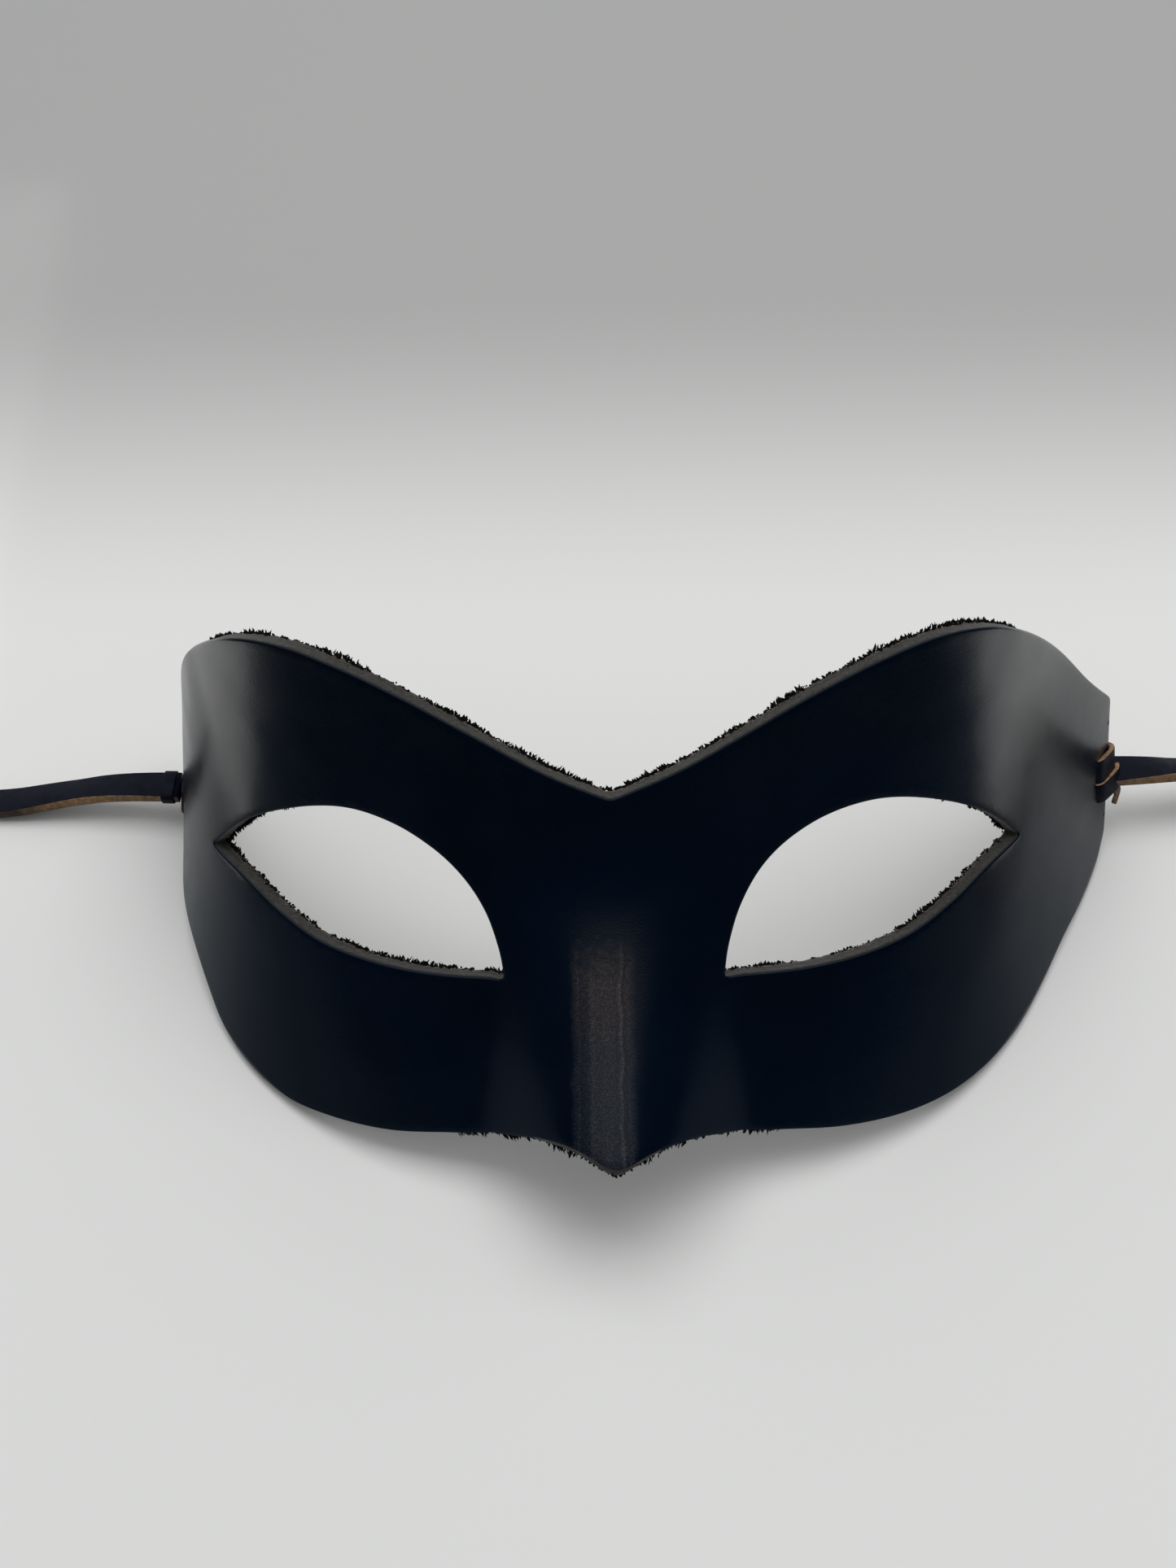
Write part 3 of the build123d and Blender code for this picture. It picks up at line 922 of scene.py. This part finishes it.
# The band on the left lace: how far from the knot it sits, its width, the gap inside it and its
# thickness, in metres
BAND_WAY = 0.0017
BAND_WIDTH = 0.0023
BAND_CLEAR = 0.0001
BAND_THICK = 0.0007
BAND_POINTS = 28


def knot_frame(side):
    """The middle of the knot on the wing's end, and its directions: past the end, up, outwards."""
    w = np.array([HOLE_LEVEL[side]])
    s = side * wing_end(w)
    n = outward(s, w)[0]
    past = unit(grain(s + side, w) - grain(s - side, w))[0]
    up = np.cross(n, past) * side
    return grain(s, w)[0], np.stack([past, up, n])


def build_knot(side, name):
    """The crossed strips of lace that tie it round the wing's end."""
    middle, axes = knot_frame(side)
    pieces = []
    for part, width, black, points in KNOT_STRIPS[side]:
        local = smooth_line("line_" + part, points)
        level = np.zeros(len(local))
        facing = np.stack([np.maximum(local[:, 0], 0), level, local[:, 2] + LEATHER / 2], axis=1)
        facing = facing @ axes @ LEAN.T * (1 if black else -1)
        line = place(middle + local @ axes)
        materials = LACE_MATERIALS if side > 0 else DYED
        pieces.append(sweep_strip("knot_" + name + "_" + part, line, facing, width * MM,
                                  KNOT_THICK * MM, LACE_CORNER, materials))
    return pieces


def build_band(name, line, facing):
    """A turn of lace round the lace itself, close to the wing: a rounded rectangle."""
    at = int(np.argmin(np.abs(way_along(line) - BAND_WAY)))
    run = unit(line[at + 1] - line[at - 1])
    up = unit(facing[at] - run * (facing[at] @ run))
    across = np.cross(run, up)
    turns = np.linspace(0, 2 * pi, BAND_POINTS)
    wide = LACE_WIDTH / 2 + BAND_CLEAR
    high = LACE_THICK / 2 + BAND_CLEAR
    c, s = np.cos(turns), np.sin(turns)
    out_across = np.sign(c) * np.sqrt(np.abs(c)) * wide
    out_up = np.sign(s) * np.sqrt(np.abs(s)) * high
    ring = line[at] + np.outer(out_across, across) + np.outer(out_up, up)
    away = np.outer(c * high, across) + np.outer(s * wide, up)
    return sweep_strip("knot_" + name + "_band", ring, away, BAND_WIDTH, BAND_THICK, LACE_CORNER, DYED)


def build_lace(side, name):
    """A lace, with its knot, from the wing to the end of its coil."""
    line = smooth_line("line_" + name, lace_line(side))
    facing, length = lace_faces(side, line)
    strip = sweep_strip("lace_" + name + "_strip", line, facing, LACE_WIDTH, LACE_THICK, LACE_CORNER)
    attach(strip, "root")
    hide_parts("lace_" + name, "coil_" + name)
    knot = build_knot(side, name)
    if side < 0:
        knot.append(build_band(name, line, facing))
    for piece in knot:
        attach(piece, "root")
    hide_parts("knot_" + name)


build_lace(-1, "left")
build_lace(+1, "right")

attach(mask, "root")
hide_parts("mask_body")

# ---------------------------------------------------------------- the stage, the light and the camera

FLOOR_RADIUS = 0.62
FLOOR_POINTS = 96
SHADE_FROM = 0.070
SHADE_TO = 0.165
PALE = (0.712, 0.718, 0.710)
SHADED = (0.372, 0.376, 0.372)


def build_floor():
    """A pale table top that falls into soft shade behind the mask."""
    n = Nodes("table_top")
    axes = n.node("ShaderNodeSeparateXYZ")
    n.link(n.place, axes.inputs[0])
    back = n.node("ShaderNodeMapRange", interpolation_type="SMOOTHSTEP")
    back.inputs["From Min"].default_value = SHADE_FROM
    back.inputs["From Max"].default_value = SHADE_TO
    n.link(axes.outputs["Y"], back.inputs["Value"])
    tone = n.mix(back.outputs["Result"], PALE, SHADED)
    rough = n.vary(0.01, 4, 0.5, 0.6)
    normal = n.bump(n.noise(0.002, 3), 0.00002, 0.2)
    material = n.finish(tone, rough, normal, Specular_IOR_Level=0.2)
    angles = np.linspace(0, 2 * pi, FLOOR_POINTS, endpoint=False)
    ring = [(FLOOR_RADIUS * cos(a), FLOOR_RADIUS * sin(a), 0) for a in angles]
    floor = make_mesh("table", ring, [tuple(range(len(ring)))], [material])


# The dark card: its line on the table, its height at each point and its tone. The shaded patch: its
# corners, its level and tone, and where it fades out to the back
CARD_LINE = [(-0.25, 0.16), (-0.25, -0.10), (-0.20, -0.24), (-0.05, -0.27), (0.08, -0.27), (0.21, -0.22),
             (0.25, -0.08), (0.25, 0.16)]
CARD_HEIGHT = [0.07, 0.18, 0.30, 0.33, 0.33, 0.33, 0.28, 0.12]
CARD_TONE = (0.006, 0.008, 0.014)
SHADOW_PATCH = [(-0.24, -0.27), (0.24, -0.27), (0.24, 0.055), (-0.24, 0.055)]
SHADOW_LEVEL = 0.0020
SHADOW_TONE = (0.13, 0.16, 0.20)
SHADOW_FADE = (-0.030, 0.055)


def only_in_sheen(piece):
    """Hides a stage piece from everything except reflections."""
    piece.visible_camera = False
    piece.visible_diffuse = False
    piece.visible_shadow = False


def build_card():
    """A dark screen round the front and the sides, and shade on the table inside it."""
    materials = []
    for name, tone in (("dark_card", CARD_TONE), ("shaded_table", SHADOW_TONE)):
        n = Nodes(name)
        n.shader.inputs["Base Color"].default_value = (*tone, 1)
        n.shader.inputs["Roughness"].default_value = 1
        materials.append(n.material)
    fade = n.remap(n.along((0, 1, 0), (0, 0, 0)), *SHADOW_FADE, 0, 1)
    n.link(n.ramp(fade, [(0, SHADOW_TONE), (1, PALE)]), n.shader.inputs["Base Color"])
    verts = [(x, y, z) for (x, y), height in zip(CARD_LINE, CARD_HEIGHT) for z in (0.0, height)]
    faces = [(2 * i, 2 * i + 2, 2 * i + 3, 2 * i + 1) for i in range(len(CARD_LINE) - 1)]
    patch = len(verts)
    verts += [(x, y, SHADOW_LEVEL) for x, y in SHADOW_PATCH]
    slots = [0] * len(faces) + [1]
    faces.append(tuple(range(patch, patch + len(SHADOW_PATCH))))
    card = make_mesh("dark_card", verts, faces, materials, slots, smooth=False)
    only_in_sheen(card)


# The bright panels: from near to far beside the mask, and from front to back
SHINE_NEAR = 0.122
SHINE_FAR = 0.260
SHINE_FRONT = -0.008
SHINE_BACK = 0.200
SHINE_LEVEL = 0.0065
SHINE_TONE = (1.0, 1.0, 0.98)
SHINE_STRENGTH = 1.70


def build_shine():
    """Glowing panels beside the wings, seen only in reflections: a painted reflection that brightens the
    wings.
    """
    n = Nodes("bright_panel")
    n.shader.inputs["Base Color"].default_value = (0, 0, 0, 1)
    n.shader.inputs["Emission Color"].default_value = (*SHINE_TONE, 1)
    n.shader.inputs["Emission Strength"].default_value = SHINE_STRENGTH
    corners = [(SHINE_NEAR, SHINE_FRONT), (SHINE_FAR, SHINE_FRONT), (SHINE_FAR, SHINE_BACK),
               (SHINE_NEAR, SHINE_BACK)]
    verts = [(side * x, y, SHINE_LEVEL) for side in (-1, +1) for x, y in corners]
    panels = make_mesh("bright_panels", verts, [(3, 2, 1, 0), (4, 5, 6, 7)], [n.material])
    only_in_sheen(panels)


# The room's light by the sine of the height, from below to above, turned back by the tilt
SKY_TILT = 20
SKY = [(-1.0, (0.010, 0.012, 0.018)), (-0.35, (0.012, 0.014, 0.022)), (-0.15, (0.05, 0.06, 0.08)),
       (0.05, (0.13, 0.14, 0.16)), (0.35, (0.20, 0.21, 0.22)), (0.58, (0.56, 0.56, 0.55)),
       (1.0, (0.80, 0.80, 0.79))]
BACKDROP = (0.60, 0.61, 0.62, 1)


def build_world():
    """A soft room, brightest above and behind the mask and dark in front; the camera sees it pale."""
    world = bpy.data.worlds.new("studio")
    world.use_nodes = True
    tree = world.node_tree
    background = tree.nodes["Background"]
    coords = tree.nodes.new("ShaderNodeTexCoord")
    tilt = tree.nodes.new("ShaderNodeMapping")
    tilt.inputs["Rotation"].default_value = (radians(SKY_TILT), 0, 0)
    axes = tree.nodes.new("ShaderNodeSeparateXYZ")
    share = tree.nodes.new("ShaderNodeMapRange")
    share.inputs["From Min"].default_value = -1
    ramp = tree.nodes.new("ShaderNodeValToRGB")
    while len(ramp.color_ramp.elements) < len(SKY):
        ramp.color_ramp.elements.new(0.5)
    for element, (height, colour) in zip(ramp.color_ramp.elements, SKY):
        element.position = (height + 1) / 2
        element.color = (*colour, 1)
    path = tree.nodes.new("ShaderNodeLightPath")
    mix = tree.nodes.new("ShaderNodeMix")
    mix.data_type = "RGBA"
    mix.inputs["B"].default_value = BACKDROP
    tree.links.new(coords.outputs["Generated"], tilt.inputs["Vector"])
    tree.links.new(tilt.outputs[0], axes.inputs[0])
    tree.links.new(axes.outputs["Z"], share.inputs["Value"])
    tree.links.new(share.outputs["Result"], ramp.inputs["Fac"])
    tree.links.new(path.outputs["Is Camera Ray"], mix.inputs["Factor"])
    tree.links.new(ramp.outputs["Color"], mix.inputs["A"])
    tree.links.new(mix.outputs["Result"], background.inputs["Color"])
    bpy.context.scene.world = world


LIGHT_PLACE = (0.05, 0.22, 0.95)
LIGHT_SIZE = (0.9, 0.6)
LIGHT_POWER = 5.5


def build_light():
    """One broad soft light above and behind the mask, turned to the origin."""
    light = bpy.data.lights.new("top", "AREA")
    light.shape = "RECTANGLE"
    light.size, light.size_y = LIGHT_SIZE
    light.energy = LIGHT_POWER
    holder = bpy.data.objects.new("top", light)
    holder.location = LIGHT_PLACE
    holder.rotation_euler = (-Vector(LIGHT_PLACE)).to_track_quat("-Z", "Y").to_euler()
    holder.visible_glossy = False
    bpy.context.scene.collection.objects.link(holder)


CAMERA_PLACE = (-0.00449, -0.18140, 0.33559)
CAMERA_TURN = (33.412, 0.750, 0.087)
CAMERA_LENS = 52.31
CAMERA_SENSOR = 36
CAMERA_CLIP = 0.01


def build_camera():
    """The camera that looks down at the mask from the front."""
    data = bpy.data.cameras.new("camera")
    data.lens = CAMERA_LENS
    data.sensor_width = CAMERA_SENSOR
    data.clip_start = CAMERA_CLIP
    holder = bpy.data.objects.new("camera", data)
    holder.location = CAMERA_PLACE
    holder.rotation_euler = [radians(a) for a in CAMERA_TURN]
    bpy.context.scene.collection.objects.link(holder)
    bpy.context.scene.camera = holder


build_floor()
build_card()
build_shine()
build_world()
build_light()
build_camera()
bpy.context.scene.view_settings.view_transform = "Standard"
